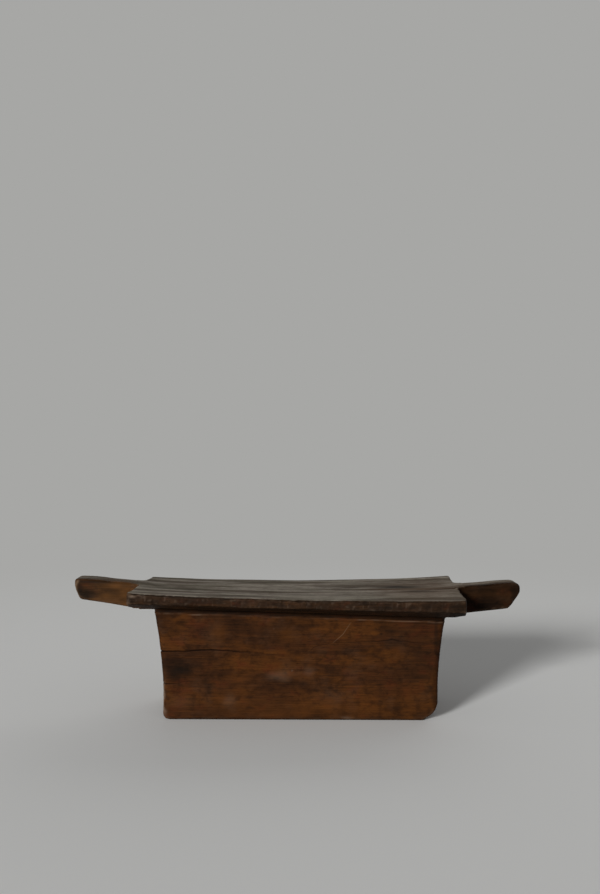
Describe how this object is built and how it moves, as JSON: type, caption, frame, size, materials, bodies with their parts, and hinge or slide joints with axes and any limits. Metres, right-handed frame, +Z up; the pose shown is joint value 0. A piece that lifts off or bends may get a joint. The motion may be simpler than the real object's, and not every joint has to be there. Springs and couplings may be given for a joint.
{
  "type": "headrest",
  "caption": "Low carved wooden headrest: a dished plank with an upswept hand grip at each end, on a solid block whose walls flare gently upwards.",
  "frame": {"origin": "centre of the flat foot that the headrest stands on", "axes": "+X along the grain towards the right-hand grip, +Y to the back, +Z up"},
  "size_m": [0.4765, 0.138, 0.1372],
  "materials": {
    "block_wood": "hand-cut, darkened and rubbed to a dull satin",
    "plank_wood": "greyed by handling, worn smooth along the grain",
    "grip_wood": "hand-polished, edges worn round"
  },
  "bodies": {
    "root": {"base_block": "block_wood", "head_plank": "plank_wood", "left_handle": "grip_wood", "right_handle": "grip_wood"}
  },
  "joints": []
}
